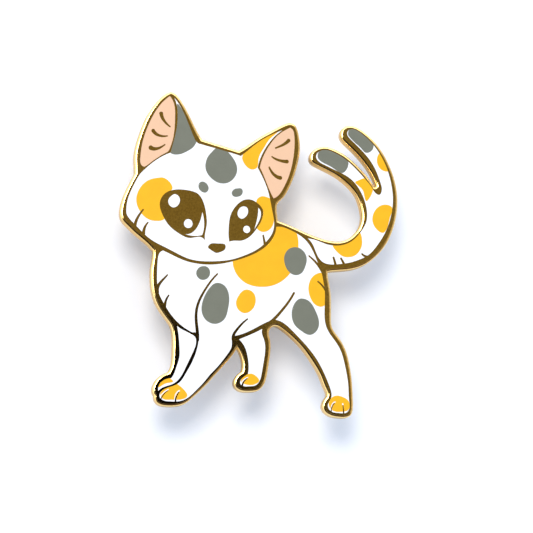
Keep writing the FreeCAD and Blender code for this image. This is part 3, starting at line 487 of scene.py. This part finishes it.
def wire_gold(context):
    """Gold plate on drawn wire, with turning marks round the post."""
    name = "Drawn wire gold"
    if name in bpy.data.materials:
        return bpy.data.materials[name]
    settings = metal(context)
    material, tree, principled, place = new_material(name, Metallic=1.0, Roughness=0.22)
    links = tree.links
    tone = place_group(tree, tone_drift_group(), place, Tone=settings.gold, Deep_Tone=settings.gold_deep,
                       Per_mm=1.2, Amount=0.8)
    links.new(tone.outputs["Color"], principled.inputs["Base Color"])
    rings = add_node(tree, "ShaderNodeTexWave", {"Scale": 5.0 / MM, "Distortion": 1.5, "Detail": 2.0},
                     bands_direction="Z")
    links.new(place, rings.inputs["Vector"])
    grain = place_group(tree, fine_grain_group(), place, Per_mm=12.0)
    links.new(between(tree, grain.outputs["Height"], 0.3, 0.7, 0.16, 0.32), principled.inputs["Roughness"])
    ringed = bumped(tree, rings.outputs["Fac"], 0.000002)
    drawn = bumped(tree, grain.outputs["Height"], 0.000003, normal=ringed.outputs["Normal"])
    links.new(drawn.outputs["Normal"], principled.inputs["Normal"])
    return material


def spring_brass(context, name, per_mm, turn):
    """Plated spring brass with its rolling marks."""
    if name in bpy.data.materials:
        return bpy.data.materials[name]
    settings = metal(context)
    material, tree, principled, place = new_material(name, Metallic=1.0, Roughness=0.2)
    links = tree.links
    tone = place_group(tree, tone_drift_group(), place, Tone=settings.brass, Deep_Tone=settings.brass_deep,
                       Per_mm=0.5, Amount=0.7)
    marks = place_group(tree, polish_marks_group(), place, Per_mm=per_mm, Turn=turn)
    grain = place_group(tree, fine_grain_group(), place, Per_mm=9.0)
    wear = between(tree, marks.outputs["Mask"], 0.0, 1.0, 0.0, 0.35)
    worn = toward(tree, wear, tone.outputs["Color"], settings.brass_deep)
    links.new(worn, principled.inputs["Base Color"])
    links.new(between(tree, grain.outputs["Height"], 0.3, 0.7, 0.13, 0.30), principled.inputs["Roughness"])
    marked = bumped(tree, marks.outputs["Height"], 0.000004)
    rolled = bumped(tree, grain.outputs["Height"], 0.000003, normal=marked.outputs["Normal"])
    links.new(rolled.outputs["Normal"], principled.inputs["Normal"])
    return material


def hard_enamel(name, tone_colour):
    """Polished hard enamel with faint cloud, pin holes and polishing marks."""
    if name in bpy.data.materials:
        return bpy.data.materials[name]
    material, tree, principled, place = new_material(name, Roughness=0.12, IOR=1.52, Coat_Weight=0.3,
                                                     Coat_Roughness=0.06)
    links = tree.links
    tone = place_group(tree, tone_drift_group(), place, Tone=tone_colour,
                       Deep_Tone=deeper(tone_colour, 0.965), Per_mm=0.35, Amount=0.7)
    links.new(tone.outputs["Color"], principled.inputs["Base Color"])
    grain = place_group(tree, fine_grain_group(), place, Per_mm=6.0)
    marks = place_group(tree, polish_marks_group(), place, Per_mm=7.0, Turn=0.9)
    links.new(between(tree, grain.outputs["Height"], 0.3, 0.7, 0.09, 0.17), principled.inputs["Roughness"])
    pits = add_node(tree, "ShaderNodeTexVoronoi", {"Scale": 1.6 / MM})
    links.new(place, pits.inputs["Vector"])
    pitted = bumped(tree, between(tree, pits.outputs["Distance"], 0.03, 0.07), 0.000006)
    polished = bumped(tree, marks.outputs["Height"], 0.0000015, normal=pitted.outputs["Normal"])
    links.new(polished.outputs["Normal"], principled.inputs["Normal"])
    return material


def printed_ink(name, tone_colour):
    """Screen-printed ink, matt, with a faint drift in its tone."""
    if name in bpy.data.materials:
        return bpy.data.materials[name]
    material, tree, principled, place = new_material(name, Roughness=0.45, Specular_IOR_Level=0.15)
    links = tree.links
    tone = place_group(tree, tone_drift_group(), place, Tone=tone_colour,
                       Deep_Tone=deeper(tone_colour, 0.93), Per_mm=0.6, Amount=0.8)
    links.new(tone.outputs["Color"], principled.inputs["Base Color"])
    grain = place_group(tree, fine_grain_group(), place, Per_mm=10.0)
    links.new(between(tree, grain.outputs["Height"], 0.3, 0.7, 0.38, 0.52), principled.inputs["Roughness"])
    links.new(bumped(tree, grain.outputs["Height"], 0.000006).outputs["Normal"], principled.inputs["Normal"])
    return material


def matte_floor(context):
    """The pale board that the badge lies on."""
    material, tree, principled, place = new_material("Pale board", Roughness=0.9)
    links = tree.links
    floor = context.scene.badge_stage.floor
    tone = place_group(tree, tone_drift_group(), place, Tone=floor,
                       Deep_Tone=deeper(floor, 0.985), Per_mm=0.02, Amount=1.0)
    links.new(tone.outputs["Color"], principled.inputs["Base Color"])
    grain = place_group(tree, fine_grain_group(), place, Per_mm=3.0)
    links.new(bumped(tree, grain.outputs["Height"], 0.00001).outputs["Normal"], principled.inputs["Normal"])
    return material


# ---------------------------------------------------------------- operators
class BADGE_OT_plate(bpy.types.Operator):
    """Model the struck plate: its outline with a rounded rim, and the cells cut into it"""
    bl_idname = "badge.plate"
    bl_label = "Struck Plate"

    def execute(self, context):
        settings = metal(context)
        plate = work_copy("cat_plate", "struck_plate")
        bpy.ops.object.mode_set(mode="EDIT")
        feet = [Vector((*middle_of(*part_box(f"{side}_post")), BACK)) for side in SIDES]
        choose(plate, "VERT",
               lambda vert: not any(self.is_outline_edge(edge, feet) for edge in vert.link_edges))
        bpy.ops.mesh.delete(type="VERT")
        bpy.ops.mesh.select_all(action="SELECT")
        bpy.ops.mesh.delete(type="ONLY_FACE")
        bpy.ops.mesh.select_all(action="SELECT")
        bpy.ops.mesh.edge_face_add()
        bpy.ops.mesh.extrude_region_move(TRANSFORM_OT_translate={"value": (0, 0, FACE - BACK)})
        bpy.ops.mesh.select_all(action="SELECT")
        bpy.ops.mesh.normals_make_consistent(inside=False)
        for level, width, steps in ((FACE, settings.shoulder / MM, 6), (BACK, settings.back_edge / MM, 2)):
            choose(plate, "EDGE", lambda edge: at_height(edge, level))
            bpy.ops.mesh.bevel(offset=width, segments=steps, affect="EDGES", clamp_overlap=False)
        bpy.ops.object.mode_set(mode="OBJECT")
        cutters = [self.cell_cutter(name) for name in ENAMELS] + [self.dimple_cutter(side) for side in SIDES]
        cut_away(plate, cutters)
        bpy.ops.object.mode_set(mode="EDIT")
        choose(plate, "EDGE", self.is_line_edge)
        bpy.ops.mesh.bevel(offset=settings.line_edge / MM, segments=1, affect="EDGES", clamp_overlap=False)
        bpy.ops.object.mode_set(mode="OBJECT")
        finish_piece(plate, struck_gold(context), "badge", stands_for=["cat_plate"])
        return {"FINISHED"}

    @staticmethod
    def is_outline_edge(edge, feet):
        """True on the outline of the back, away from the dimples for the posts' feet."""
        if not at_height(edge, BACK) or not any(abs(face.normal.z) < UPRIGHT for face in edge.link_faces):
            return False
        middle = (edge.verts[0].co + edge.verts[1].co) / 2
        return all((middle - foot).length >= FOOT_ZONE for foot in feet)

    @staticmethod
    def cell_cutter(name):
        """The enamel of a cell, drawn up through the face."""
        cutter = work_copy(name, f"{name}_cutter")
        bpy.ops.object.mode_set(mode="EDIT")
        choose(cutter, "FACE", lambda face: at_height(face, FACE))
        bpy.ops.transform.translate(value=(0, 0, OVERSHOOT))
        bpy.ops.object.mode_set(mode="OBJECT")
        return cutter

    @staticmethod
    def dimple_cutter(side):
        """The dimple in the back for a post's foot."""
        low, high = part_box(f"{side}_post")
        top = high[2] / MM
        bpy.ops.mesh.primitive_cylinder_add(
            vertices=64, radius=(high[0] - low[0]) / 2 / MM, depth=top - BACK + OVERSHOOT,
            location=(*middle_of(low, high), (top + BACK - OVERSHOOT) / 2))
        bpy.ops.object.transform_apply(location=True)
        return bpy.context.object

    @staticmethod
    def is_line_edge(edge):
        """True where the face of the plate meets the wall of a cell."""
        if not at_height(edge, FACE) or len(edge.link_faces) != 2:
            return False
        walls = [face for face in edge.link_faces if abs(face.normal.z) < UPRIGHT]
        return len(walls) == 1 and heights(walls[0])[0] < FACE - WALL_DEPTH


class BADGE_OT_enamel(bpy.types.Operator):
    """Give the enamel cells their polished white and pink"""
    bl_idname = "badge.enamel"
    bl_label = "Enamel Cells"

    def execute(self, context):
        paint = {"white": hard_enamel("White hard enamel", list(colours(context).white)),
                 "pink": hard_enamel("Pink hard enamel", list(colours(context).pink))}
        for name, tone in ENAMELS.items():
            paint_node(name, paint[tone])
        return {"FINISHED"}


class BADGE_OT_spots(bpy.types.Operator):
    """Give the printed spots their orange and grey ink"""
    bl_idname = "badge.spots"
    bl_label = "Printed Spots"

    def execute(self, context):
        settings = colours(context)
        inks = {"orange": printed_ink("Orange ink", list(settings.orange)),
                "grey": printed_ink("Grey ink", list(settings.grey))}
        for name in SPOTS:
            paint_node(name, inks[name.rsplit("_", 1)[1]])
        return {"FINISHED"}


class BADGE_OT_posts(bpy.types.Operator):
    """Plate the posts, and run solder round their feet"""
    bl_idname = "badge.posts"
    bl_label = "Posts"

    def execute(self, context):
        gold = wire_gold(context)
        for side in SIDES:
            paint_node(f"{side}_post", gold)
            profile = [(0.5, BACK + 0.02), (0.5, BACK - 0.75), (0.57, BACK - 0.72), (0.59, BACK - 0.5),
                       (0.64, BACK - 0.3), (0.76, BACK - 0.16), (0.98, BACK - 0.08), (1.3, BACK - 0.04),
                       (1.5, BACK - 0.01), (1.52, BACK + 0.02)]
            solder = turned_piece(f"{side}_solder", profile, 64)
            solder.data.transform(Matrix.Translation((*middle_of(*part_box(f"{side}_post")), 0)))
            finish_piece(solder, gold, "badge", smooth=60)
        return {"FINISHED"}


class BADGE_OT_clutches(bpy.types.Operator):
    """Model the butterfly clutches: drawn cups, clip bases and squeezing wings"""
    bl_idname = "badge.clutches"
    bl_label = "Butterfly Clutches"

    def execute(self, context):
        for side in SIDES:
            self.cup(side, spring_brass(context, "Drawn brass cup", 6.0, 0.4))
            self.clip_base(side, spring_brass(context, "Pressed brass clip", 9.0, 0.0))
            for hand in ("right", "left"):
                self.wing(side, hand, spring_brass(context, "Sprung brass wing", 11.0, math.pi / 2))
        return {"FINISHED"}

    @staticmethod
    def cup(side, brass):
        """A drawn cup with a coined ring on its disc and a rolled edge; its underside clears the clip base."""
        low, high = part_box(f"{side}_clutch_cup")
        top = high[2] / MM
        outer = (high[0] - low[0]) / 2 / MM
        hole, sheet, corner, bead = 0.75, 0.4, 0.5, 0.3
        inner = 0.25
        coined, scribed = top - 0.14, top - 0.08
        roll = low[2] / MM + bead
        profile = [(hole, top - sheet), (hole, top - 0.06), (0.82, top), (1.5, top), (1.72, coined),
                   (2.5, coined), (2.72, top), (3.9, top), (4.02, scribed), (4.2, scribed), (4.32, top)]
        profile += arc((outer - corner, top - corner), corner, 90, 0, 6)
        profile += arc((outer - bead, roll), bead, 0, -180, 10)
        profile += [(outer - 0.42, roll + 0.24)]
        profile += arc((outer - sheet - inner, top - sheet - inner), inner, 0, 90, 4)
        cup = turned_piece(f"{side}_cup", profile, 96)
        cup.data.transform(Matrix.Translation((*middle_of(low, high), 0)))
        finish_piece(cup, brass, f"{side}_cup", stands_for=[f"{side}_clutch_cup"])

    @staticmethod
    def clip_base(side, brass):
        """The clip's base, its pressed edges rounded."""
        base = work_copy(f"{side}_clip_base", f"{side}_base")
        soften(base, 0.05)
        finish_piece(base, brass, f"{side}_clip", stands_for=[f"{side}_clip_base"])

    @staticmethod
    def wing(side, hand, brass):
        """A wing and its jaw, its pressed edges rounded."""
        node_name = f"{side}_wing_{hand}"
        wing = work_copy(node_name, f"{node_name}_pressed")
        soften(wing, 0.07)
        finish_piece(wing, brass, f"{side}_{hand}_wing", stands_for=[node_name])


class BADGE_OT_stage(bpy.types.Operator):
    """Set the pale board, the soft lights and the camera"""
    bl_idname = "badge.stage"
    bl_label = "Stage"

    def execute(self, context):
        settings = context.scene.badge_stage
        bpy.ops.mesh.primitive_grid_add(x_subdivisions=8, y_subdivisions=8, size=4, location=(0, 0, -0.00002))
        board = context.object
        board.name = "pale_board"
        bpy.ops.object.transform_apply(location=True)
        board.data.materials.append(matte_floor(context))
        aim = Vector((0.00075, -0.00144, PLATE_HIGH[2]))
        away = Vector((-0.75, -0.66, 0)).normalized() * math.sin(settings.tilt)
        away.z = math.cos(settings.tilt)
        self.camera(context, settings, aim, away)
        self.window_light(context, settings)
        self.dark_card(context, aim + away * settings.distance)
        self.brown_card(context, settings)
        self.sky(context, settings, Vector((-away.x, -away.y, away.z)))
        context.scene.view_settings.view_transform = "Standard"
        return {"FINISHED"}

    @staticmethod
    def camera(context, settings, aim, away):
        """The camera, turned so that the badge's axes lean as little as they can."""
        lens = bpy.data.cameras.new("badge_camera")
        lens.sensor_width = 36
        lens.lens = 36 * settings.distance / settings.field
        lens.clip_start = 0.01
        seen = bpy.data.objects.new("badge_camera", lens)
        context.scene.collection.objects.link(seen)
        right = Vector((0, 1, 0)).cross(away).normalized()
        up = away.cross(right)
        turn = Matrix((right, up, away)).transposed() @ Matrix.Rotation(math.radians(-0.48), 3, "Z")
        seen.matrix_world = Matrix.Translation(aim + away * settings.distance) @ turn.to_4x4()
        context.scene.camera = seen

    @staticmethod
    def window_light(context, settings):
        """A soft window to the upper left."""
        light = bpy.data.lights.new("window", "AREA")
        light.shape = "RECTANGLE"
        light.size = 0.17
        light.size_y = 0.15
        light.energy = settings.key
        light.color = (1.0, 0.94, 0.87)
        lamp = bpy.data.objects.new("window", light)
        context.scene.collection.objects.link(lamp)
        place = Vector((-0.1, 0.12, 0.5))
        lamp.matrix_world = Matrix.Translation(place) @ place.to_track_quat("Z", "Y").to_matrix().to_4x4()

    @staticmethod
    def card(context, name, corners, tint):
        """A card that only shows in the badge's polished metal."""
        mesh = bpy.data.meshes.new(name)
        mesh.from_pydata(corners, [], [tuple(range(len(corners)))])
        card = bpy.data.objects.new(name, mesh)
        context.scene.collection.objects.link(card)
        material, _, principled, _ = new_material(name, Roughness=1.0, Specular_IOR_Level=0.0)
        principled.inputs["Base Color"].default_value = tint
        mesh.materials.append(material)
        card.visible_camera = False
        card.visible_diffuse = False
        card.visible_shadow = False

    def dark_card(self, context, eye):
        """A dark card over the badge, which the polished lines within its edge mirror to the camera."""
        edge = [(-22, -3.5), (-14, -4.3), (-8, -5.5), (-4, -6.6), (0.6, -7.6), (0.7, -9.3), (-0.8, -11),
                (-0.8, -15), (0.2, -16.3), (8, -18.3), (12, -24), (14, -45), (-60, -60), (-60, -10)]
        height = eye.z + 0.006
        reach = (height - PLATE_HIGH[2]) / (eye.z - PLATE_HIGH[2])
        corners = [(x * MM + (x * MM - eye.x) * reach, y * MM + (y * MM - eye.y) * reach, height)
                   for x, y in edge]
        self.card(context, "dark_card", corners, (0.004, 0.003, 0.003, 1))

    def brown_card(self, context, settings):
        """A brown card on the board, seen only in the metal: it stands in for the board in shadow under the
        badge, a painted shade that the badge's sides mirror as darker reflections.
        """
        half, lift = settings.brown / 2, 0.00004
        corners = [(-half, -half, lift), (half, -half, lift), (half, half, lift), (-half, half, lift)]
        # painted shade: a tan sheet under the badge that only reflections see, in place of the shadowed board
        self.card(context, "brown_card", corners, (0.72, 0.62, 0.47, 1))

    @staticmethod
    def sky(context, settings, mirror):
        """Soft light all round; its darker and brighter patches, like parts of a room, show only in glossy
        rays, as painted reflections and highlights in the metal.
        """
        world = bpy.data.worlds.new("soft_room")
        world.use_nodes = True
        context.scene.world = world
        tree = world.node_tree
        links = tree.links
        glow = next(n for n in tree.nodes if n.type == "BACKGROUND")
        glow.inputs["Strength"].default_value = settings.sky
        direction = add_node(tree, "ShaderNodeTexCoord").outputs["Generated"]
        # painted reflections: these patches light nothing, and only glossy rays see them
        patches = [
            (Vector((0.0, 1.0, 0.55)), 20, 60, (3.2, 3.2, 3.1, 1)),
            (Vector((-1.0, 0.25, 0.6)), 20, 50, (2.4, 2.35, 2.2, 1)),
            (Vector((1.0, 0.0, 0.7)), 20, 45, (0.75, 0.66, 0.5, 1)),
            (Vector((-0.7, -0.66, 1.25)), 22, 33, (0.03, 0.012, 0.005, 1)),
            (Vector((0.1, -0.85, 1.1)), 22, 33, (0.035, 0.009, 0.004, 1)),
            (Vector((0.8, -0.8, 1.1)), 16, 30, (0.11, 0.04, 0.012, 1)),
            # painted reflection: an olive patch round the camera's mirror direction, which tints the plate's
            # flat face
            (mirror, 10, 20, (0.22, 0.175, 0.062, 1)),
        ]
        colour = add_node(tree, "ShaderNodeRGB").outputs[0]
        colour.default_value = (1.0, 1.0, 0.98, 1)
        for axis, inner, outer, tint in patches:
            dot = add_node(tree, "ShaderNodeVectorMath", operation="DOT_PRODUCT")
            dot.inputs[1].default_value = axis.normalized()
            links.new(direction, dot.inputs[0])
            mask = add_node(tree, "ShaderNodeMapRange", {"From Min": math.cos(math.radians(outer)),
                                                         "From Max": math.cos(math.radians(inner))},
                            interpolation_type="SMOOTHSTEP")
            links.new(dot.outputs["Value"], mask.inputs["Value"])
            colour = toward(tree, mask.outputs["Result"], colour, tint)
        # glossy rays see the painted patches, and all other rays see the plain air
        path = add_node(tree, "ShaderNodeLightPath")
        plain = add_node(tree, "ShaderNodeMix", data_type="RGBA")
        plain.inputs["A"].default_value = tuple(settings.air)
        links.new(path.outputs["Is Glossy Ray"], plain.inputs["Factor"])
        links.new(colour, plain.inputs["B"])
        links.new(plain.outputs["Result"], glow.inputs["Color"])


# ---------------------------------------------------------------- panel and registration
class BADGE_PT_sidebar(bpy.types.Panel):
    """The badge's sizes, colours and pieces"""
    bl_idname = "BADGE_PT_sidebar"
    bl_label = "Enamel Badge"
    bl_space_type = "VIEW_3D"
    bl_region_type = "UI"
    bl_category = "Badge"

    def draw(self, context):
        for group in (context.scene.badge_metal, context.scene.badge_colours, context.scene.badge_stage):
            box = self.layout.box()
            for name in group.__annotations__:
                box.prop(group, name)
        for operator in OPERATORS:
            self.layout.operator(operator.bl_idname)


OPERATORS = (BADGE_OT_stage, BADGE_OT_plate, BADGE_OT_enamel, BADGE_OT_spots, BADGE_OT_posts, BADGE_OT_clutches)
CLASSES = (BadgeMetalSettings, BadgeColourSettings, BadgeStageSettings) + OPERATORS + (BADGE_PT_sidebar,)


def register():
    """Register the classes and hang the settings on the scene."""
    for cls in CLASSES:
        bpy.utils.register_class(cls)
    bpy.types.Scene.badge_metal = PointerProperty(type=BadgeMetalSettings)
    bpy.types.Scene.badge_colours = PointerProperty(type=BadgeColourSettings)
    bpy.types.Scene.badge_stage = PointerProperty(type=BadgeStageSettings)


def unregister():
    """Take the settings off the scene and unregister the classes."""
    del bpy.types.Scene.badge_metal
    del bpy.types.Scene.badge_colours
    del bpy.types.Scene.badge_stage
    for cls in reversed(CLASSES):
        bpy.utils.unregister_class(cls)


def main():
    """Build the badge and its stage."""
    register()
    bpy.ops.object.select_all(action="DESELECT")
    bpy.ops.badge.stage()
    bpy.ops.badge.plate()
    bpy.ops.badge.enamel()
    bpy.ops.badge.spots()
    bpy.ops.badge.posts()
    bpy.ops.badge.clutches()


if __name__ == "__main__":
    main()
